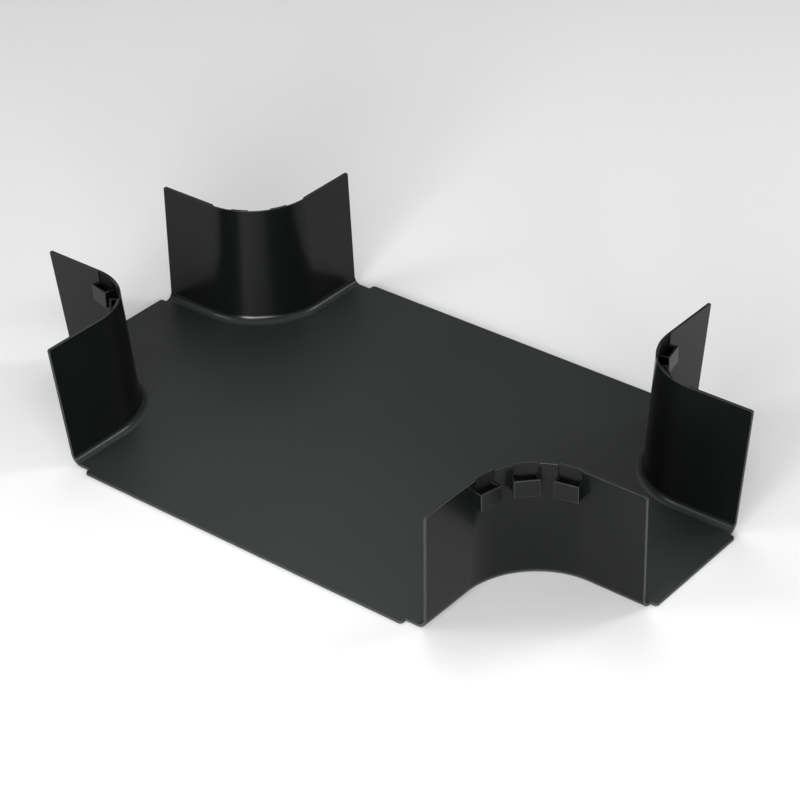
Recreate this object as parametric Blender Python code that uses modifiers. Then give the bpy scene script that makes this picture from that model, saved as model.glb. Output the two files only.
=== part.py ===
"""Reducing four-way cross fitting of an open cable raceway, as one moulded plastic piece.

Units are metres, +Z is up and the origin is the centre of the floor's underside. The narrow channel
runs along X and the wide one along Y. Each of the four corners has one wall that follows both
channels round a bend, convex towards the cables, so that no cable is bent over a sharp edge.
"""

import math

import bmesh
import bpy
from mathutils import Matrix, Vector

MM = 0.001

# Channels, between the inner faces where they would meet the plane of the underside
WIDE_CHANNEL = 304.8 * MM
NARROW_CHANNEL = 101.6 * MM
# Overall size at the rim
RIM_LENGTH_X = 512 * MM
RIM_LENGTH_Y = 310 * MM
HEIGHT = 92 * MM
WALL = 2.2 * MM
# Walls lean out over the channel's sides, and their end faces lean out over its ends
WALL_LEAN = math.radians(4.3)
END_LEAN = math.radians(3.2)
# Plan radius of the corner's inner face at the underside, and the fillet between wall and floor
BEND_RADIUS = 55.5 * MM
FLOOR_FILLET = 6 * MM
RIM_CORNER_RADIUS = 1.5 * MM

# Tongue of the floor in each opening
LIP_REACH = 4.8 * MM
LIP_CORNER_RADIUS = 2.5 * MM
WIDE_LIP = 277 * MM
NARROW_LIP = 90 * MM

# Cover loops on the outer side of each bend, and the recess in the wall behind each
LOOP_WIDTH = 16.8 * MM
LOOP_WALL = 1.8 * MM
LOOP_TOP = 83.5 * MM
LOOP_HEIGHT = 12.4 * MM
LOOP_FACE_RADIUS = 39.8 * MM
LOOP_EDGE = 0.4 * MM
SIDE_LOOP_TURN = math.radians(33)
SIDE_LOOP_SHIFT = 1.6 * MM
RECESS_WIDTH = 16.2 * MM
RECESS_DEPTH = 1.1 * MM
RECESS_ABOVE_LOOP_BASE = 1 * MM

# Facets
BEND_STEPS = 20
FILLET_STEPS = 6
CORNER_STEPS = 3

# Spare material that is trimmed off, and the reach of cutting shapes past what they cut
SPARE = 6 * MM

MERGE_DISTANCE = 0.01 * MM

BODY_COLOUR = (0.016, 0.017, 0.017, 1.0)
BODY_ROUGHNESS = 0.42

BEND_CENTRE = Vector((WIDE_CHANNEL / 2 + BEND_RADIUS, NARROW_CHANNEL / 2 + BEND_RADIUS))


def clear_scene():
    """Remove every object that is there at the start."""
    for item in list(bpy.data.objects):
        bpy.data.objects.remove(item)


def make_collection(name):
    """Return a new collection linked to the scene."""
    collection = bpy.data.collections.new(name)
    bpy.context.scene.collection.children.link(collection)
    return collection


def make_object(name, bm, collection):
    """Turn a bmesh into an object of the given collection."""
    mesh = bpy.data.meshes.new(name)
    bm.to_mesh(mesh)
    bm.free()
    item = bpy.data.objects.new(name, mesh)
    collection.objects.link(item)
    return item


def hide_cutter(item):
    """Keep a shape that only cuts or joins out of the render."""
    item.hide_render = True
    item.display_type = "WIRE"
    return item


def mirror_to_four_corners(item):
    """Repeat one quarter of the fitting across both middle planes."""
    mirror = item.modifiers.new("four_corners", "MIRROR")
    mirror.use_axis = (True, True, False)
    mirror.merge_threshold = MERGE_DISTANCE


def add_boolean(item, operation, other):
    """Join, cut or trim with another object, then weld the corners that fall on one another."""
    boolean = item.modifiers.new(f"{operation.lower()}_{other.name}", "BOOLEAN")
    boolean.operation = operation
    boolean.solver = "EXACT"
    boolean.object = other
    weld = item.modifiers.new(f"weld_{other.name}", "WELD")
    weld.merge_threshold = MERGE_DISTANCE


def wall_plan(outward):
    """Return one corner's plan line, moved by a distance away from the channels.

    It runs from the end of the narrow channel, round the bend, to the end of the wide one.
    """
    radius = BEND_RADIUS - outward
    points = [Vector((RIM_LENGTH_X / 2 + SPARE, BEND_CENTRE.y - radius))]
    for step in range(BEND_STEPS + 1):
        angle = math.radians(270 - 90 * step / BEND_STEPS)
        points.append(BEND_CENTRE + radius * Vector((math.cos(angle), math.sin(angle))))
    points.append(Vector((BEND_CENTRE.x - radius, RIM_LENGTH_Y / 2 + SPARE)))
    return points


def inner_section():
    """Return the inner face's section as (outward, height) pairs, from above the rim to the floor."""
    above_rim = HEIGHT + SPARE
    section = [(above_rim * math.tan(WALL_LEAN), above_rim)]
    fillet_height = WALL + FLOOR_FILLET
    fillet_outward = fillet_height * math.tan(WALL_LEAN) - FLOOR_FILLET / math.cos(WALL_LEAN)
    for step in range(FILLET_STEPS + 1):
        part = step / FILLET_STEPS
        angle = -WALL_LEAN - (math.pi / 2 - WALL_LEAN) * part
        section.append((fillet_outward + FLOOR_FILLET * math.cos(angle),
                        fillet_height + FLOOR_FILLET * math.sin(angle)))
    return section


def sweep_section(bm, section):
    """Sweep (outward, height) pairs along the corner's plan line, and return the rows of vertices.

    Where the pairs run from top to bottom, the faces look towards the channels.
    """
    rows = [[bm.verts.new((point.x, point.y, height)) for point in wall_plan(outward)]
            for outward, height in section]
    for upper, lower in zip(rows, rows[1:]):
        for index in range(len(upper) - 1):
            bm.faces.new((upper[index], upper[index + 1], lower[index + 1], lower[index]))
    return rows


def add_thickness(item, thickness):
    """Thicken an open surface on the side that its faces look away from."""
    solidify = item.modifiers.new("thickness", "SOLIDIFY")
    solidify.thickness = thickness
    solidify.offset = -1
    solidify.use_even_offset = True


def build_body(collection):
    """Build floor, fillets and walls as the open inner surface of a quarter, mirrored and thickened."""
    bm = bmesh.new()
    rows = sweep_section(bm, inner_section())
    floor_edge = rows[-1]
    far_y = bm.verts.new((0, RIM_LENGTH_Y / 2 + SPARE, WALL))
    middle = bm.verts.new((0, 0, WALL))
    far_x = bm.verts.new((RIM_LENGTH_X / 2 + SPARE, 0, WALL))
    bm.faces.new((*floor_edge, far_y, middle, far_x))
    bmesh.ops.recalc_face_normals(bm, faces=bm.faces)
    if middle.link_faces[0].normal.z < 0:
        bmesh.ops.reverse_faces(bm, faces=bm.faces)
    body = make_object("cross_fitting", bm, collection)
    mirror_to_four_corners(body)
    add_thickness(body, WALL)
    return body


def make_block(bm, low, high):
    """Add a box between two corners and return its vertices."""
    size = Vector(high) - Vector(low)
    centre = (Vector(high) + Vector(low)) / 2
    matrix = Matrix.Translation(centre) @ Matrix.Diagonal((*size, 1))
    return bmesh.ops.create_cube(bm, size=1, matrix=matrix)["verts"]


def build_trim_shape(collection):
    """Build the space that the finished piece stays in: its rim, its leaning ends and its lips."""
    bm = bmesh.new()
    half_x, half_y = RIM_LENGTH_X / 2, RIM_LENGTH_Y / 2
    corners = make_block(bm, (-half_x, -half_y, -SPARE), (half_x, half_y, HEIGHT))
    inset = (HEIGHT + SPARE) * math.tan(END_LEAN)
    for vertex in corners:
        if vertex.co.z < 0:
            vertex.co.x -= math.copysign(inset, vertex.co.x)
            vertex.co.y -= math.copysign(inset, vertex.co.y)
    rim_edges = [edge for edge in bm.edges if all(vertex.co.z > 0 for vertex in edge.verts)]
    bmesh.ops.bevel(bm, geom=rim_edges, offset=RIM_CORNER_RADIUS, segments=CORNER_STEPS,
                    profile=0.5, affect="EDGES")
    trim_shape = hide_cutter(make_object("trim_shape", bm, collection))

    floor_inset = HEIGHT * math.tan(END_LEAN)
    reach_x = half_x - floor_inset + LIP_REACH
    reach_y = half_y - floor_inset + LIP_REACH
    for name, x, y in (("wide_lips", WIDE_LIP / 2, reach_y), ("narrow_lips", reach_x, NARROW_LIP / 2)):
        bm = bmesh.new()
        make_block(bm, (-x, -y, -SPARE / 2), (x, y, 2 * WALL))
        upright = [edge for edge in bm.edges if edge.verts[0].co.xy == edge.verts[1].co.xy]
        bmesh.ops.bevel(bm, geom=upright, offset=LIP_CORNER_RADIUS, segments=CORNER_STEPS,
                        profile=0.5, affect="EDGES")
        lips = hide_cutter(make_object(name, bm, collection))
        add_boolean(trim_shape, "UNION", lips)
    return trim_shape


def loop_frames():
    """Return each loop's place as (face point in plan, direction into the wall, direction along it)."""
    frames = []
    for side in (-1, 0, 1):
        angle = math.radians(225) + side * SIDE_LOOP_TURN
        inward = Vector((math.cos(angle), math.sin(angle)))
        along = Vector((-inward.y, inward.x))
        face = BEND_CENTRE + LOOP_FACE_RADIUS * inward + side * SIDE_LOOP_SHIFT * along
        frames.append((face, inward, along))
    return frames


def distance_to_wall(start, direction, outward):
    """Return how far a plan point is from the corner's plan line, which is moved outward, along a direction."""
    radius = BEND_RADIUS - outward
    offset = start - BEND_CENTRE
    along = offset.dot(direction)
    to_arc = -along + math.sqrt(along ** 2 - offset.length_squared + radius ** 2)
    hit = offset + to_arc * direction
    if hit.x > 0:
        return (-radius - offset.y) / direction.y
    if hit.y > 0:
        return (-radius - offset.x) / direction.x
    return to_arc


def build_loops(collection):
    """Build the three loops of one corner as bent strips whose ends stand in the wall, on all four corners."""
    bm = bmesh.new()
    seat = WALL - (WALL - RECESS_DEPTH) / 2
    for face, inward, along in loop_frames():
        rows = []
        for height in (LOOP_TOP - LOOP_HEIGHT, LOOP_TOP):
            outward = height * math.tan(WALL_LEAN) + WALL - seat
            near = face - along * LOOP_WIDTH / 2
            far = face + along * LOOP_WIDTH / 2
            strip = (near + inward * distance_to_wall(near, inward, outward), near,
                     far, far + inward * distance_to_wall(far, inward, outward))
            rows.append([bm.verts.new((point.x, point.y, height)) for point in strip])
        low, high = rows
        for index in range(len(low) - 1):
            bm.faces.new((low[index + 1], low[index], high[index], high[index + 1]))
    loops = hide_cutter(make_object("cover_loops", bm, collection))
    add_thickness(loops, LOOP_WALL)
    edges = loops.modifiers.new("soft_edges", "BEVEL")
    edges.width = LOOP_EDGE
    edges.segments = 1
    mirror_to_four_corners(loops)
    return loops


def build_recesses(collection):
    """Build the shapes that thin the wall behind each loop, from the loop's base up through the rim."""
    base = LOOP_TOP - LOOP_HEIGHT + RECESS_ABOVE_LOOP_BASE
    bm = bmesh.new()
    sweep_section(bm, [(height * math.tan(WALL_LEAN) + WALL - RECESS_DEPTH, height)
                       for height in (HEIGHT + SPARE, base)])
    recesses = hide_cutter(make_object("recesses", bm, collection))
    add_thickness(recesses, SPARE)

    bm = bmesh.new()
    for face, inward, along in loop_frames():
        verts = make_block(bm, (-RECESS_WIDTH / 2, 0, base - SPARE), (RECESS_WIDTH / 2, 4 * SPARE, HEIGHT + 2 * SPARE))
        turn = Matrix((along.to_3d(), inward.to_3d(), Vector((0, 0, 1)))).transposed().to_4x4()
        bmesh.ops.transform(bm, verts=verts, matrix=Matrix.Translation(face.to_3d()) @ turn)
    bmesh.ops.recalc_face_normals(bm, faces=bm.faces)
    spans = hide_cutter(make_object("recess_spans", bm, collection))
    add_boolean(recesses, "INTERSECT", spans)
    mirror_to_four_corners(recesses)
    return recesses


def make_plastic():
    """Return the black satin plastic of the fitting."""
    material = bpy.data.materials.new("black_plastic")
    material.use_nodes = True
    shader = material.node_tree.nodes["Principled BSDF"]
    shader.inputs["Base Color"].default_value = BODY_COLOUR
    shader.inputs["Roughness"].default_value = BODY_ROUGHNESS
    shader.inputs["Metallic"].default_value = 0.0
    return material


def main():
    """Build the fitting."""
    clear_scene()
    parts = make_collection("raceway_cross_fitting")
    cutters = make_collection("cutting_shapes")
    body = build_body(parts)
    add_boolean(body, "INTERSECT", build_trim_shape(cutters))
    add_boolean(body, "DIFFERENCE", build_recesses(cutters))
    add_boolean(body, "UNION", build_loops(cutters))
    body.data.materials.append(make_plastic())


main()
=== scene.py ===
"""Looks of a reducing four-way cross fitting for open fibre cable raceway.

The fitting is one moulding of black satin plastic: a flat cross-shaped floor, a rounded wall in each of
the four corners, and three loops for the cover's latches on the outer side of each bend. This script makes
its fine surface, with rounded edges, in place of the plain solid, dresses it, and sets up the floor, the
lights and the camera. Lengths are in metres, +Z is up, and the origin is the centre of the floor's underside.
"""

import logging
import math
from dataclasses import dataclass, field
from enum import Enum

import bmesh
import bpy
from mathutils import Matrix, Vector


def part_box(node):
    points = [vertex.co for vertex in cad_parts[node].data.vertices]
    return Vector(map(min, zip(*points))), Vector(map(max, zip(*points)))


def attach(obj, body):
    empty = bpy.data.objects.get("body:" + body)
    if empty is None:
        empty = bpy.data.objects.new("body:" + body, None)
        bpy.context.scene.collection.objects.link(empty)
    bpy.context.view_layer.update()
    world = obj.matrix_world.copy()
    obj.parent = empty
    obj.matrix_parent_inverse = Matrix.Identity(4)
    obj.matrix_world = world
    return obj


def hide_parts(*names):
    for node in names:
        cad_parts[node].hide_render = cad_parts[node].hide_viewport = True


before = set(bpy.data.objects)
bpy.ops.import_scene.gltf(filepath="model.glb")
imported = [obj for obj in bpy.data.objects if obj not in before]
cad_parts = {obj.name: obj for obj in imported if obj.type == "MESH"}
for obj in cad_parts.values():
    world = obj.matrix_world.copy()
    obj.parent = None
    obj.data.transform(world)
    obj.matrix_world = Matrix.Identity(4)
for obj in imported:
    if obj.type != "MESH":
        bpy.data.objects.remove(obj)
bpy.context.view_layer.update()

MM = 0.001
ROUND_PROFILE = 0.5
LOG = logging.getLogger("cross_fitting")


class Combine(Enum):
    """What one closed shape does to another."""

    JOIN = "UNION"
    CUT = "DIFFERENCE"
    KEEP_COMMON = "INTERSECT"


class Face(Enum):
    """How the finish, with its painted highlight and painted shade, treats a face of the moulding."""

    PLAIN = 0
    EDGE = 1
    RECESS = 2


class Value:
    """A shader socket that carries a number, with Python's arithmetic."""

    def __init__(self, graph: "ShaderGraph", socket: bpy.types.NodeSocket) -> None:
        """Wrap a socket of a graph.

        Args:
            graph: The graph that the socket belongs to.
            socket: An output socket that gives a number.
        """
        self.graph = graph
        self.socket = socket

    def _math(self, operation: str, first: "Value | float", second: "Value | float") -> "Value":
        """Add one Math node.

        Args:
            operation: The node's operation.
            first: The upper input.
            second: The lower input.

        Returns:
            The node's result.
        """
        return self.graph.value("ShaderNodeMath", {"operation": operation}, {0: first, 1: second})

    def __add__(self, other: "Value | float") -> "Value":
        """Return self + other."""
        return self._math("ADD", self, other)

    def __radd__(self, other: float) -> "Value":
        """Return other + self."""
        return self._math("ADD", other, self)

    def __sub__(self, other: "Value | float") -> "Value":
        """Return self - other."""
        return self._math("SUBTRACT", self, other)

    def __rsub__(self, other: float) -> "Value":
        """Return other - self."""
        return self._math("SUBTRACT", other, self)

    def __mul__(self, other: "Value | float") -> "Value":
        """Return self * other."""
        return self._math("MULTIPLY", self, other)

    def __rmul__(self, other: float) -> "Value":
        """Return other * self."""
        return self._math("MULTIPLY", other, self)


class ShaderGraph:
    """The node tree of one material."""

    def __init__(self, name: str) -> None:
        """Make a material whose tree holds its Principled shader and its output.

        Args:
            name: The material's name.
        """
        self.material = bpy.data.materials.new(name)
        self.material.use_nodes = True
        self.tree = self.material.node_tree
        self.shader = self.tree.nodes["Principled BSDF"]

    def add(self, kind: str, settings: dict[str, object] | None = None,
            sockets: dict[str | int, object] | None = None) -> bpy.types.Node:
        """Add a node of any type.

        Args:
            kind: The node's type.
            settings: Its own settings, which are set first.
            sockets: The values or links of its inputs, by name or number.

        Returns:
            The new node.
        """
        node = self.tree.nodes.new(kind)
        for name, setting in (settings or {}).items():
            setattr(node, name, setting)
        for key, content in (sockets or {}).items():
            self.feed(node.inputs[key], content)
        return node

    def feed(self, socket: bpy.types.NodeSocket, content: object) -> None:
        """Link an output to an input, or set the input's own value.

        Args:
            socket: The input.
            content: A Value, an output socket, or a plain value.
        """
        if isinstance(content, Value):
            content = content.socket
        if isinstance(content, bpy.types.NodeSocket):
            self.tree.links.new(content, socket)
        else:
            socket.default_value = content

    def value(self, kind: str, settings: dict[str, object] | None = None,
              sockets: dict[str | int, object] | None = None, output: str | int = 0) -> Value:
        """Add a node and return one of its outputs as a number.

        Args:
            kind: The node's type.
            settings: Its own settings.
            sockets: The values or links of its inputs.
            output: The output's name or number.

        Returns:
            The wrapped output.
        """
        return Value(self, self.add(kind, settings, sockets).outputs[output])

    def mix(self, share: Value, first: object, second: object) -> bpy.types.NodeSocket:
        """Blend two colours.

        Args:
            share: How much of the second is shown.
            first: A colour or a colour socket.
            second: A colour or a colour socket.

        Returns:
            The blended colour.
        """
        node = self.add("ShaderNodeMix", {"data_type": "RGBA"})
        for label, content in (("Factor_Float", share), ("A_Color", first), ("B_Color", second)):
            self.feed(next(item for item in node.inputs if item.identifier == label), content)
        return next(item for item in node.outputs if item.identifier == "Result_Color")


@dataclass(frozen=True)
class SatinBlackPlastic:
    """Black raceway plastic, matt on the floor and smoother on the walls, with painted light and shade: the
    floor's colour is painted lighter and the walls' darker.

    Its edges, rims and wall ends carry a paler painted highlight, and the recesses behind the loops are dull
    and painted darker still as painted shade.
    """

    floor_top: float
    name: str = "satin_black_plastic"
    # Painted light and shade: one plastic, painted darker on the walls and lighter on the floor; each pair
    # gives its random cloudy tone.
    painted_shade_wall_dark: tuple[float, float, float, float] = (0.0019, 0.0021, 0.0021, 1.0)
    painted_shade_wall_light: tuple[float, float, float, float] = (0.0034, 0.0038, 0.0037, 1.0)
    painted_lit_floor_dark: tuple[float, float, float, float] = (0.0178, 0.0192, 0.0189, 1.0)
    painted_lit_floor_light: tuple[float, float, float, float] = (0.0268, 0.0288, 0.0284, 1.0)
    # Painted highlight: a paler colour on rounded edges, rims and wall ends.
    painted_edge_highlight: tuple[float, float, float, float] = (0.034, 0.036, 0.0355, 1.0)
    # Painted shade: the darker colour in the recesses behind the loops and on the loops' inner faces.
    painted_recess_shade: tuple[float, float, float, float] = (0.0012, 0.0013, 0.0013, 1.0)
    floor_roughness: float = 0.41
    wall_roughness: float = 0.21
    recess_roughness: float = 0.75
    roughness_spread: float = 0.04
    metallic: float = 0.0
    specular_level: float = 0.19
    fade_start: float = 0.1 * MM
    polish_fade_end: float = 2.0 * MM
    painted_shade_fade_end: float = 5.0 * MM
    cloud_size: float = 120 * MM
    cloud_detail: float = 3.0
    grain_size: float = 0.55 * MM
    grain_detail: float = 1.0
    grain_share: float = 0.6
    fine_grain_size: float = 0.22 * MM
    fine_grain_share: float = 0.4
    grain_height: float = 0.003 * MM
    wave_size: float = 60 * MM
    wave_height: float = 0.05 * MM
    plain_detail: float = 0.0
    noise_roughness: float = 0.5
    noise_middle: float = 0.5
    bump_strength: float = 1.0

    def build(self) -> bpy.types.Material:
        """Make the material.

        Returns:
            The finished material.
        """
        graph = ShaderGraph(self.name)
        place = graph.add("ShaderNodeTexCoord").outputs["Object"]
        clouds = self.noise(graph, place, self.cloud_size, self.cloud_detail)
        grain = self.noise(graph, place, self.grain_size, self.grain_detail)
        fine_grain = self.noise(graph, place, self.fine_grain_size, self.plain_detail)
        waves = self.noise(graph, place, self.wave_size, self.plain_detail)
        edge = graph.value("ShaderNodeAttribute", {"attribute_name": "edge"}, output="Fac")
        recess = graph.value("ShaderNodeAttribute", {"attribute_name": "recess"}, output="Fac")
        polished = self.above_floor(graph, place, self.polish_fade_end)
        # Height mask for the painted light and shade: the floor's lighter colour below, the walls' darker
        # colour above.
        walls = self.above_floor(graph, place, self.painted_shade_fade_end)

        # Painted light on the floor and painted shade on the walls, each with its random cloudy tone.
        painted_lit_floor_colour = graph.mix(clouds, self.painted_lit_floor_dark, self.painted_lit_floor_light)
        painted_shade_wall_colour = graph.mix(clouds, self.painted_shade_wall_dark, self.painted_shade_wall_light)
        clouds_and_painted_light = graph.mix(walls, painted_lit_floor_colour, painted_shade_wall_colour)
        # Painted shade: recess faces painted darker.
        shaded = graph.mix(recess, clouds_and_painted_light, self.painted_recess_shade)
        # Painted highlight: edges, rims and wall ends painted paler, broken up by the grain.
        graph.feed(graph.shader.inputs["Base Color"], graph.mix(edge * grain, shaded, self.painted_edge_highlight))

        polish = polished * (self.wall_roughness - self.floor_roughness) + self.floor_roughness
        polish = polish + recess * (self.recess_roughness - self.wall_roughness)
        cloud_spread = (clouds - self.noise_middle) * self.roughness_spread
        grain_spread = (grain - self.noise_middle) * self.roughness_spread
        graph.feed(graph.shader.inputs["Roughness"], polish + (cloud_spread + grain_spread))

        graph.shader.inputs["Metallic"].default_value = self.metallic
        graph.shader.inputs["Specular IOR Level"].default_value = self.specular_level

        uneven = graph.add("ShaderNodeBump", None,
                           {"Height": waves, "Distance": self.wave_height, "Strength": self.bump_strength})
        height = grain * self.grain_share + fine_grain * self.fine_grain_share
        bump = graph.add("ShaderNodeBump", None,
                         {"Height": height, "Distance": self.grain_height, "Strength": self.bump_strength,
                          "Normal": uneven.outputs["Normal"]})
        graph.feed(graph.shader.inputs["Normal"], bump.outputs["Normal"])
        return graph.material

    def above_floor(self, graph: ShaderGraph, place: bpy.types.NodeSocket, fade_end: float) -> Value:
        """Tell the walls from the floor.

        Args:
            graph: The material's graph.
            place: The object's coordinates.
            fade_end: How far above the floor the walls begin in full.

        Returns:
            0 on the floor and 1 on the walls, with a soft step in the fillet.
        """
        split = graph.add("ShaderNodeSeparateXYZ", None, {0: place})
        return graph.value("ShaderNodeMapRange", {"interpolation_type": "SMOOTHSTEP"},
                           {"Value": split.outputs["Z"], "From Min": self.floor_top + self.fade_start,
                            "From Max": self.floor_top + fade_end})

    def noise(self, graph: ShaderGraph, place: bpy.types.NodeSocket, size: float, detail: float) -> Value:
        """Add a noise texture.

        Args:
            graph: The material's graph.
            place: The texture coordinates.
            size: The length of one lump of the noise.
            detail: How many finer layers it has.

        Returns:
            The noise, about 0.5 on average.
        """
        return graph.value("ShaderNodeTexNoise", None,
                           {"Vector": place, "Scale": 1 / size, "Detail": detail,
                            "Roughness": self.noise_roughness}, "Fac")


@dataclass(frozen=True)
class PaleFloorPaint:
    """The matt white of the studio floor."""

    name: str = "pale_floor"
    colour: tuple[float, float, float, float] = (0.9, 0.9, 0.9, 1.0)
    roughness: float = 0.9

    def build(self) -> bpy.types.Material:
        """Make the material.

        Returns:
            The finished material.
        """
        graph = ShaderGraph(self.name)
        graph.shader.inputs["Base Color"].default_value = self.colour
        graph.shader.inputs["Roughness"].default_value = self.roughness
        return graph.material


class Workbench:
    """Turns meshes into objects, and thickens, rounds, repeats and combines them."""

    merge_distance: float = 0.002 * MM
    sharp_turn: float = math.radians(40)

    @staticmethod
    def object_from(name: str, bm: bmesh.types.BMesh) -> bpy.types.Object:
        """Turn a mesh in the making into an object.

        Args:
            name: The object's name.
            bm: The mesh, which is freed.

        Returns:
            The new object.
        """
        mesh = bpy.data.meshes.new(name)
        bm.to_mesh(mesh)
        bm.free()
        item = bpy.data.objects.new(name, mesh)
        bpy.context.scene.collection.objects.link(item)
        return item

    @staticmethod
    def box(bm: bmesh.types.BMesh, low: tuple[float, float, float],
            high: tuple[float, float, float]) -> list[bmesh.types.BMVert]:
        """Add a box between two corners.

        Args:
            bm: The mesh in the making.
            low: The lowest corner.
            high: The highest corner.

        Returns:
            The box's corners.
        """
        size = Vector(high) - Vector(low)
        centre = (Vector(high) + Vector(low)) / 2
        matrix = Matrix.Translation(centre) @ Matrix.Diagonal((*size, 1))
        return bmesh.ops.create_cube(bm, size=1, matrix=matrix)["verts"]

    def combine(self, item: bpy.types.Object, how: Combine, other: bpy.types.Object) -> None:
        """Combine an object with another one, which is used up.

        Args:
            item: The object that stays.
            how: What the other does to it.
            other: The other object.
        """
        boolean = item.modifiers.new("combine", "BOOLEAN")
        boolean.operation = how.value
        boolean.solver = "EXACT"
        boolean.object = other
        weld = item.modifiers.new("weld", "WELD")
        weld.merge_threshold = self.merge_distance
        self.settle(item)
        bpy.data.objects.remove(other)

    @staticmethod
    def settle(item: bpy.types.Object) -> None:
        """Apply an object's modifiers to its mesh.

        Args:
            item: The object.
        """
        bpy.context.view_layer.update()
        evaluated = item.evaluated_get(bpy.context.evaluated_depsgraph_get())
        mesh = bpy.data.meshes.new_from_object(evaluated)
        item.modifiers.clear()
        item.data = mesh

    @staticmethod
    def give_slots(item: bpy.types.Object) -> None:
        """Give an object one empty material slot for each kind of face."""
        while len(item.data.materials) < len(Face):
            item.data.materials.append(None)

    def mark_all(self, item: bpy.types.Object, kind: Face) -> None:
        """Mark every face of an object as one kind.

        Args:
            item: The object.
            kind: What its faces are marked as.
        """
        self.give_slots(item)
        for polygon in item.data.polygons:
            polygon.material_index = kind.value

    def thicken(self, item: bpy.types.Object, thickness: float, inner: Face = Face.PLAIN) -> None:
        """Give an open surface a thickness on the side that its faces look away from.

        Args:
            item: The open surface.
            thickness: How thick it becomes.
            inner: The kind of the new faces on that side.
        """
        self.give_slots(item)
        solidify = item.modifiers.new("thickness", "SOLIDIFY")
        solidify.thickness = thickness
        solidify.offset = -1
        solidify.use_even_offset = True
        solidify.material_offset = inner.value
        self.settle(item)

    def mirror_to_four_corners(self, item: bpy.types.Object) -> None:
        """Repeat one quarter of the fitting across both middle planes.

        Args:
            item: The quarter, in the corner where X and Y are positive.
        """
        mirror = item.modifiers.new("four_corners", "MIRROR")
        mirror.use_axis = (True, True, False)
        mirror.merge_threshold = self.merge_distance
        self.settle(item)

    def round_edges(self, item: bpy.types.Object, radius: float, steps: int) -> None:
        """Round the sharp edges of a shape, and mark the new faces as edges.

        Args:
            item: The shape.
            radius: The radius of the edges.
            steps: How many faces a rounding has.
        """
        self.give_slots(item)
        bevel = item.modifiers.new("rounded_edges", "BEVEL")
        bevel.limit_method = "ANGLE"
        bevel.angle_limit = self.sharp_turn
        bevel.width = radius
        bevel.segments = steps
        bevel.use_clamp_overlap = False
        bevel.material = Face.EDGE.value
        self.settle(item)


@dataclass
class CornerWall:
    """The wall of one corner and the fillet under it, round the bend from one channel into the other.

    The bend's start and turn are in degrees, seen from its centre.
    """

    wide_channel: float = 304.8 * MM
    narrow_channel: float = 101.6 * MM
    wall: float = 2.2 * MM
    lean: float = math.radians(4.3)
    bend_radius: float = 55.5 * MM
    bend_start: float = 270
    bend_turn: float = 90
    floor_fillet: float = 6 * MM
    bend_steps: int = 60
    fillet_steps: int = 14
    spare: float = 6 * MM

    @property
    def bend_centre(self) -> Vector:
        """The centre of the bend in plan."""
        return Vector((self.wide_channel / 2 + self.bend_radius,
                       self.narrow_channel / 2 + self.bend_radius))

    def plan_line(self, outward: float, reach: Vector) -> list[Vector]:
        """Return the wall's line in plan, from the end of the narrow channel to the end of the wide one.

        Args:
            outward: How far the line is moved away from the channels.
            reach: Half the fitting's length along X and Y.

        Returns:
            The points of the line.
        """
        centre = self.bend_centre
        radius = self.bend_radius - outward
        points = [Vector((reach.x + self.spare, centre.y - radius))]
        for step in range(self.bend_steps + 1):
            angle = math.radians(self.bend_start - self.bend_turn * step / self.bend_steps)
            points.append(centre + radius * Vector((math.cos(angle), math.sin(angle))))
        points.append(Vector((centre.x - radius, reach.y + self.spare)))
        return points

    def inner_section(self, height: float) -> list[tuple[float, float]]:
        """Return the inner face's section, from above the rim down to the floor.

        Args:
            height: The height of the rim.

        Returns:
            (outward, height) pairs.
        """
        top = height + self.spare
        section = [(top * math.tan(self.lean), top)]
        fillet_height = self.wall + self.floor_fillet
        fillet_outward = fillet_height * math.tan(self.lean) - self.floor_fillet / math.cos(self.lean)
        for step in range(self.fillet_steps + 1):
            angle = -self.lean - (math.pi / 2 - self.lean) * step / self.fillet_steps
            section.append((fillet_outward + self.floor_fillet * math.cos(angle),
                            fillet_height + self.floor_fillet * math.sin(angle)))
        return section

    def sweep(self, bm: bmesh.types.BMesh, section: list[tuple[float, float]],
              reach: Vector) -> list[list[bmesh.types.BMVert]]:
        """Sweep a section along the wall's line.

        Args:
            bm: The mesh in the making.
            section: (outward, height) pairs from top to bottom, so that the faces look to the channels.
            reach: Half the fitting's length along X and Y.

        Returns:
            The rows of corners.
        """
        rows = [[bm.verts.new((point.x, point.y, height)) for point in self.plan_line(outward, reach)]
                for outward, height in section]
        for upper, lower in zip(rows, rows[1:]):
            for index in range(len(upper) - 1):
                bm.faces.new((upper[index], upper[index + 1], lower[index + 1], lower[index]))
        return rows

    def distance_along(self, start: Vector, direction: Vector, outward: float) -> float:
        """Return how far it is from a plan point to the wall's line.

        Args:
            start: The point.
            direction: The direction to look in.
            outward: How far the line is moved away from the channels.

        Returns:
            The distance.
        """
        radius = self.bend_radius - outward
        offset = start - self.bend_centre
        along = offset.dot(direction)
        to_arc = -along + math.sqrt(along ** 2 - offset.length_squared + radius ** 2)
        hit = offset + to_arc * direction
        if hit.x > 0:
            return (-radius - offset.y) / direction.y
        if hit.y > 0:
            return (-radius - offset.x) / direction.x
        return to_arc


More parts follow.
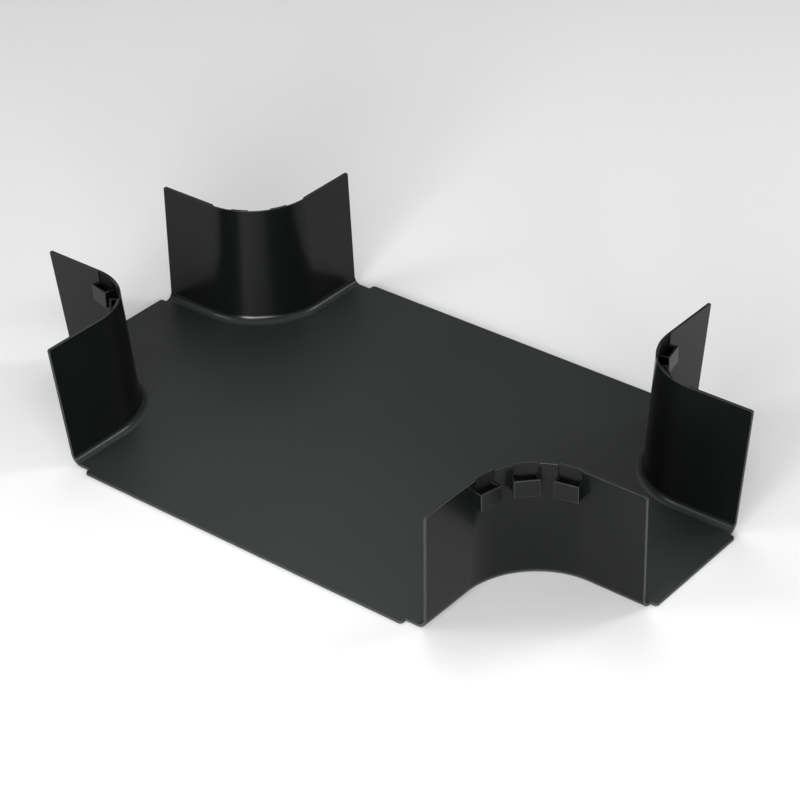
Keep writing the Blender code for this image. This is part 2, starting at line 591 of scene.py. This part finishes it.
@dataclass
class FloorLips:
    """The tongue of the floor in each of the four openings."""

    reach: float = 4.8 * MM
    wide: float = 277 * MM
    narrow: float = 90 * MM
    corner_radius: float = 2.5 * MM
    corner_steps: int = 8

    def build(self, bench: Workbench, ends: Vector, wall: float) -> list[bpy.types.Object]:
        """Make one slab for each pair of openings.

        Args:
            bench: Where the shapes are made.
            ends: Half the floor's length along X and Y at the underside.
            wall: The floor's thickness.

        Returns:
            The two slabs.
        """
        slabs = []
        for name, x, y in (("wide_lips", self.wide / 2, ends.y + self.reach),
                           ("narrow_lips", ends.x + self.reach, self.narrow / 2)):
            bm = bmesh.new()
            bench.box(bm, (-x, -y, -wall), (x, y, 2 * wall))
            upright = [edge for edge in bm.edges if edge.verts[0].co.xy == edge.verts[1].co.xy]
            bmesh.ops.bevel(bm, geom=upright, offset=self.corner_radius, segments=self.corner_steps,
                            profile=ROUND_PROFILE, affect="EDGES")
            slabs.append(bench.object_from(name, bm))
        return slabs


@dataclass
class CoverLoops:
    """Three loops on the outer side of each bend, and the recess in the wall behind each."""

    width: float = 16.8 * MM
    wall: float = 1.8 * MM
    top: float = 83.5 * MM
    height: float = 12.4 * MM
    face_radius: float = 39.8 * MM
    middle_turn: float = math.radians(225)
    side_turn: float = math.radians(33)
    side_shift: float = 1.6 * MM
    edge_radius: float = 0.45 * MM
    edge_steps: int = 3
    recess_width: float = 16.2 * MM
    recess_depth: float = 1.1 * MM
    recess_above_base: float = 1 * MM
    rim_chamfer: float = 0.45 * MM

    def frames(self, corner: CornerWall) -> list[tuple[Vector, Vector, Vector]]:
        """Return each loop's place in plan.

        Args:
            corner: The wall that carries the loops.

        Returns:
            (middle of the face, direction into the wall, direction along the face) for each loop.
        """
        found = []
        for side in (-1, 0, 1):
            angle = self.middle_turn + side * self.side_turn
            inward = Vector((math.cos(angle), math.sin(angle)))
            along = Vector((-inward.y, inward.x))
            face = corner.bend_centre + self.face_radius * inward + side * self.side_shift * along
            found.append((face, inward, along))
        return found

    def build_strips(self, bench: Workbench, corner: CornerWall) -> bpy.types.Object:
        """Make the loops as bent strips whose ends stand in the wall, on all four corners.

        Args:
            bench: Where the shapes are made.
            corner: The wall that carries the loops.

        Returns:
            The loops.
        """
        bm = bmesh.new()
        seat = corner.wall - (corner.wall - self.recess_depth) / 2
        for face, inward, along in self.frames(corner):
            rows = []
            for height in (self.top - self.height, self.top):
                outward = height * math.tan(corner.lean) + corner.wall - seat
                near = face - along * self.width / 2
                far = face + along * self.width / 2
                strip = (near + inward * corner.distance_along(near, inward, outward), near,
                         far, far + inward * corner.distance_along(far, inward, outward))
                rows.append([bm.verts.new((point.x, point.y, height)) for point in strip])
            low, high = rows
            for index in range(len(low) - 1):
                bm.faces.new((low[index + 1], low[index], high[index], high[index + 1]))
        strips = bench.object_from("cover_loops", bm)
        bench.thicken(strips, self.wall, inner=Face.RECESS)
        bench.round_edges(strips, self.edge_radius, self.edge_steps)
        bench.mirror_to_four_corners(strips)
        return strips

    def build_recesses(self, bench: Workbench, corner: CornerWall, reach: Vector,
                       rim: float) -> bpy.types.Object:
        """Make the shapes that thin the wall behind each loop and chamfer its rim, on all four corners.

        Args:
            bench: Where the shapes are made.
            corner: The wall that is thinned.
            reach: Half the fitting's length along X and Y.
            rim: The height of the rim.

        Returns:
            The cutting shapes.
        """
        spare = corner.spare
        cutter_thickness = 2 * spare
        cutter_length = 4 * spare
        base = self.top - self.height + self.recess_above_base
        chamfer = rim - self.rim_chamfer
        top = rim + spare
        upright = [(height * math.tan(corner.lean) + corner.wall - self.recess_depth, height)
                   for height in (chamfer, base)]
        slanted = (upright[0][0] - (top - chamfer), top)
        bm = bmesh.new()
        corner.sweep(bm, [slanted, *upright], reach)
        recesses = bench.object_from("recesses", bm)
        bench.thicken(recesses, cutter_thickness)
        bench.mark_all(recesses, Face.RECESS)

        bm = bmesh.new()
        half = self.recess_width / 2
        for face, inward, along in self.frames(corner):
            verts = bench.box(bm, (-half, 0, base - spare), (half, cutter_length, rim + cutter_thickness))
            turn = Matrix((along.to_3d(), inward.to_3d(), Vector((0, 0, 1)))).transposed().to_4x4()
            bmesh.ops.transform(bm, verts=verts, matrix=Matrix.Translation(face.to_3d()) @ turn)
        bmesh.ops.recalc_face_normals(bm, faces=bm.faces)
        spans = bench.object_from("recess_spans", bm)
        bench.mark_all(spans, Face.RECESS)
        bench.combine(recesses, Combine.KEEP_COMMON, spans)
        bench.mirror_to_four_corners(recesses)
        return recesses


@dataclass
class CrossFitting:
    """The whole moulding."""

    low: Vector
    high: Vector
    end_lean: float = math.radians(3.2)
    rim_corner_radius: float = 1.5 * MM
    rim_corner_steps: int = 8
    edge_radius: float = 0.4 * MM
    edge_steps: int = 3
    facing: float = 0.98
    facing_up: float = 0.5
    smooth_turn: float = math.radians(38)
    large_face_weight: int = 100
    corner: CornerWall = field(default_factory=CornerWall)
    lips: FloorLips = field(default_factory=FloorLips)
    loops: CoverLoops = field(default_factory=CoverLoops)
    bench: Workbench = field(default_factory=Workbench)

    @property
    def reach(self) -> Vector:
        """Half the fitting's length along X and Y, at the rim."""
        return Vector((self.high.x - self.low.x, self.high.y - self.low.y)) / 2

    @property
    def rim(self) -> float:
        """The height of the rim."""
        return self.high.z

    def build_shell(self) -> bpy.types.Object:
        """Make floor, fillets and walls, before their ends are trimmed.

        Returns:
            The shell.
        """
        corner, reach = self.corner, self.reach
        bm = bmesh.new()
        rows = corner.sweep(bm, corner.inner_section(self.rim), reach)
        far_y = bm.verts.new((0, reach.y + corner.spare, corner.wall))
        middle = bm.verts.new((0, 0, corner.wall))
        far_x = bm.verts.new((reach.x + corner.spare, 0, corner.wall))
        bm.faces.new((*rows[-1], far_y, middle, far_x))
        bmesh.ops.recalc_face_normals(bm, faces=bm.faces)
        if middle.link_faces[0].normal.z < 0:
            bmesh.ops.reverse_faces(bm, faces=bm.faces)
        shell = self.bench.object_from("cross_moulding", bm)
        self.bench.mirror_to_four_corners(shell)
        self.bench.thicken(shell, corner.wall)
        return shell

    def build_outline(self) -> bpy.types.Object:
        """Make the space that the moulding stays in: its rim, its leaning ends and its lips.

        Returns:
            The outline shape.
        """
        reach, spare = self.reach, self.corner.spare
        bm = bmesh.new()
        corners = self.bench.box(bm, (-reach.x, -reach.y, -spare), (reach.x, reach.y, self.rim))
        inset = (self.rim + spare) * math.tan(self.end_lean)
        for vertex in corners:
            if vertex.co.z < 0:
                vertex.co.x -= math.copysign(inset, vertex.co.x)
                vertex.co.y -= math.copysign(inset, vertex.co.y)
        rim_edges = [edge for edge in bm.edges if all(vertex.co.z > 0 for vertex in edge.verts)]
        bmesh.ops.bevel(bm, geom=rim_edges, offset=self.rim_corner_radius, segments=self.rim_corner_steps,
                        profile=ROUND_PROFILE, affect="EDGES")
        outline = self.bench.object_from("outline", bm)
        floor_inset = self.rim * math.tan(self.end_lean)
        ends = Vector((reach.x - floor_inset, reach.y - floor_inset))
        for slab in self.lips.build(self.bench, ends, self.corner.wall):
            self.bench.combine(outline, Combine.JOIN, slab)
        return outline

    def build(self) -> bpy.types.Object:
        """Make the moulding with its finish.

        Returns:
            The finished piece.
        """
        bench = self.bench
        piece = self.build_shell()
        bench.combine(piece, Combine.KEEP_COMMON, self.build_outline())
        bench.round_edges(piece, self.edge_radius, self.edge_steps)
        recesses = self.loops.build_recesses(bench, self.corner, self.reach, self.rim)
        bench.combine(piece, Combine.CUT, recesses)
        bench.combine(piece, Combine.JOIN, self.loops.build_strips(bench, self.corner))
        self.mark_faces(piece)
        self.shade(piece)
        piece.data.materials.clear()
        piece.data.materials.append(SatinBlackPlastic(floor_top=self.corner.wall).build())
        return piece

    def is_rim_or_end(self, polygon: bpy.types.MeshPolygon) -> bool:
        """Tell whether a face lies on top of a wall or at a wall's end.

        Args:
            polygon: The face.

        Returns:
            Whether it does.
        """
        centre, normal = polygon.center, polygon.normal
        if normal.z > self.facing_up:
            return centre.z > self.rim - self.rim_corner_radius
        above_lips = centre.z > self.corner.wall
        inset = (self.rim - centre.z) * math.tan(self.end_lean) + self.edge_radius
        at_end_x = abs(centre.x) > self.reach.x - inset and abs(normal.x) > self.facing
        at_end_y = abs(centre.y) > self.reach.y - inset and abs(normal.y) > self.facing
        return above_lips and (at_end_x or at_end_y)

    def mark_faces(self, piece: bpy.types.Object) -> None:
        """Store which faces are edges and which are in a recess, for the finish's painted highlight on edges
        and painted shade in recesses, and give all one material.

        Args:
            piece: The moulding, whose faces carry their kind as a material index.
        """
        mesh = piece.data
        for polygon in mesh.polygons:
            # Rims and wall ends are marked as edges so they take the painted highlight.
            if self.is_rim_or_end(polygon):
                polygon.material_index = Face.EDGE.value
        for name, kind in (("edge", Face.EDGE), ("recess", Face.RECESS)):
            mark = mesh.attributes.new(name, "FLOAT", "FACE")
            for polygon in mesh.polygons:
                mark.data[polygon.index].value = float(polygon.material_index == kind.value)
        self.bench.mark_all(piece, Face.PLAIN)

    def shade(self, piece: bpy.types.Object) -> None:
        """Shade the moulding smooth, with flat faces kept flat beside their rounded edges.

        Args:
            piece: The moulding.
        """
        piece.data.shade_smooth()
        piece.data.set_sharp_from_angle(angle=self.smooth_turn)
        weighted = piece.modifiers.new("weighted_normals", "WEIGHTED_NORMAL")
        weighted.keep_sharp = True
        weighted.weight = self.large_face_weight
        self.bench.settle(piece)


@dataclass(frozen=True)
class SoftBox:
    """A square studio light that looks at the fitting. Its azimuth and elevation are in degrees."""

    name: str
    azimuth: float
    elevation: float
    distance: float
    size: float
    strength: float

    def build(self, target: Vector) -> bpy.types.Object:
        """Make the light.

        Args:
            target: The point that it looks at.

        Returns:
            The light's object.
        """
        data = bpy.data.lights.new(self.name, "AREA")
        data.shape = "SQUARE"
        data.size = self.size
        data.energy = self.strength * math.pi * self.size ** 2
        item = bpy.data.objects.new(self.name, data)
        bpy.context.scene.collection.objects.link(item)
        azimuth, elevation = math.radians(self.azimuth), math.radians(self.elevation)
        away = Vector((math.sin(azimuth) * math.cos(elevation),
                       -math.cos(azimuth) * math.cos(elevation),
                       math.sin(elevation)))
        item.location = target + self.distance * away
        item.rotation_euler = away.to_track_quat("Z", "Y").to_euler()
        return item


@dataclass
class Studio:
    """Floor, lights and camera."""

    camera_place: Vector = field(default_factory=lambda: Vector((0.9623, -1.1244, 0.9909)))
    camera_right: Vector = field(default_factory=lambda: Vector((0.77680, 0.62899, -0.03096)))
    camera_up: Vector = field(default_factory=lambda: Vector((-0.32205, 0.43902, 0.83878)))
    lens: float = 116.1
    sensor: float = 36.0
    sight: float = 120.0
    floor_size: float = 30.0
    floor_gap: float = 0.05 * MM
    sky: tuple[float, float, float, float] = (1.0, 1.0, 1.0, 1.0)
    sky_strength: float = 0.16
    paint: PaleFloorPaint = field(default_factory=PaleFloorPaint)
    boxes: tuple[SoftBox, ...] = (
        SoftBox("front_left_box", azimuth=15, elevation=8, distance=1.6, size=0.5, strength=32),
        SoftBox("front_box", azimuth=36, elevation=8, distance=1.6, size=0.5, strength=23),
        SoftBox("front_right_box", azimuth=57, elevation=8, distance=1.6, size=0.5, strength=14),
        SoftBox("front_high_box", azimuth=15, elevation=24, distance=1.6, size=0.5, strength=5),
        SoftBox("right_box", azimuth=95, elevation=40, distance=1.6, size=0.5, strength=1),
        SoftBox("back_right_box", azimuth=141, elevation=37, distance=1.6, size=0.5, strength=8),
        SoftBox("left_box", azimuth=-39, elevation=37, distance=1.6, size=0.6, strength=4.5),
        SoftBox("back_high_box", azimuth=215, elevation=60, distance=1.6, size=0.8, strength=2.6),
        SoftBox("back_box", azimuth=240, elevation=45, distance=1.6, size=0.8, strength=1),
    )

    def build_floor(self) -> bpy.types.Object:
        """Make the floor that the fitting stands on.

        Returns:
            The floor.
        """
        bm = bmesh.new()
        bmesh.ops.create_grid(bm, x_segments=1, y_segments=1, size=self.floor_size / 2,
                              matrix=Matrix.Translation((0, 0, -self.floor_gap)))
        floor = Workbench.object_from("studio_floor", bm)
        floor.data.materials.append(self.paint.build())
        return floor

    def build_lights(self, target: Vector) -> None:
        """Make the soft boxes and the dim, even light of the surroundings.

        Args:
            target: The point that the lights look at.
        """
        for box in self.boxes:
            box.build(target)
        world = bpy.data.worlds.new("studio")
        world.use_nodes = True
        background = world.node_tree.nodes["Background"]
        background.inputs["Color"].default_value = self.sky
        background.inputs["Strength"].default_value = self.sky_strength
        bpy.context.scene.world = world

    def build_camera(self) -> bpy.types.Object:
        """Make the camera at the photograph's place.

        Returns:
            The camera.
        """
        data = bpy.data.cameras.new("camera")
        data.lens = self.lens
        data.sensor_width = self.sensor
        data.clip_end = self.sight
        camera = bpy.data.objects.new("camera", data)
        bpy.context.scene.collection.objects.link(camera)
        right = self.camera_right.normalized()
        back = right.cross(self.camera_up).normalized()
        turn = Matrix((right, back.cross(right), back)).transposed()
        camera.matrix_world = Matrix.Translation(self.camera_place) @ turn.to_4x4()
        bpy.context.scene.camera = camera
        bpy.context.scene.view_settings.view_transform = "Standard"
        return camera


def main() -> None:
    """Build the fitting and its studio."""
    logging.basicConfig(level=logging.INFO)
    low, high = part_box("cross_fitting")
    fitting = CrossFitting(low, high)
    piece = fitting.build()
    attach(piece, "root")
    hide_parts("cross_fitting")
    LOG.info("%s: %d faces", piece.name, len(piece.data.polygons))

    studio = Studio()
    studio.build_floor()
    studio.build_lights((low + high) / 2)
    studio.build_camera()
    LOG.info("studio: %d lights", len(studio.boxes))


if __name__ == "__main__":
    main()
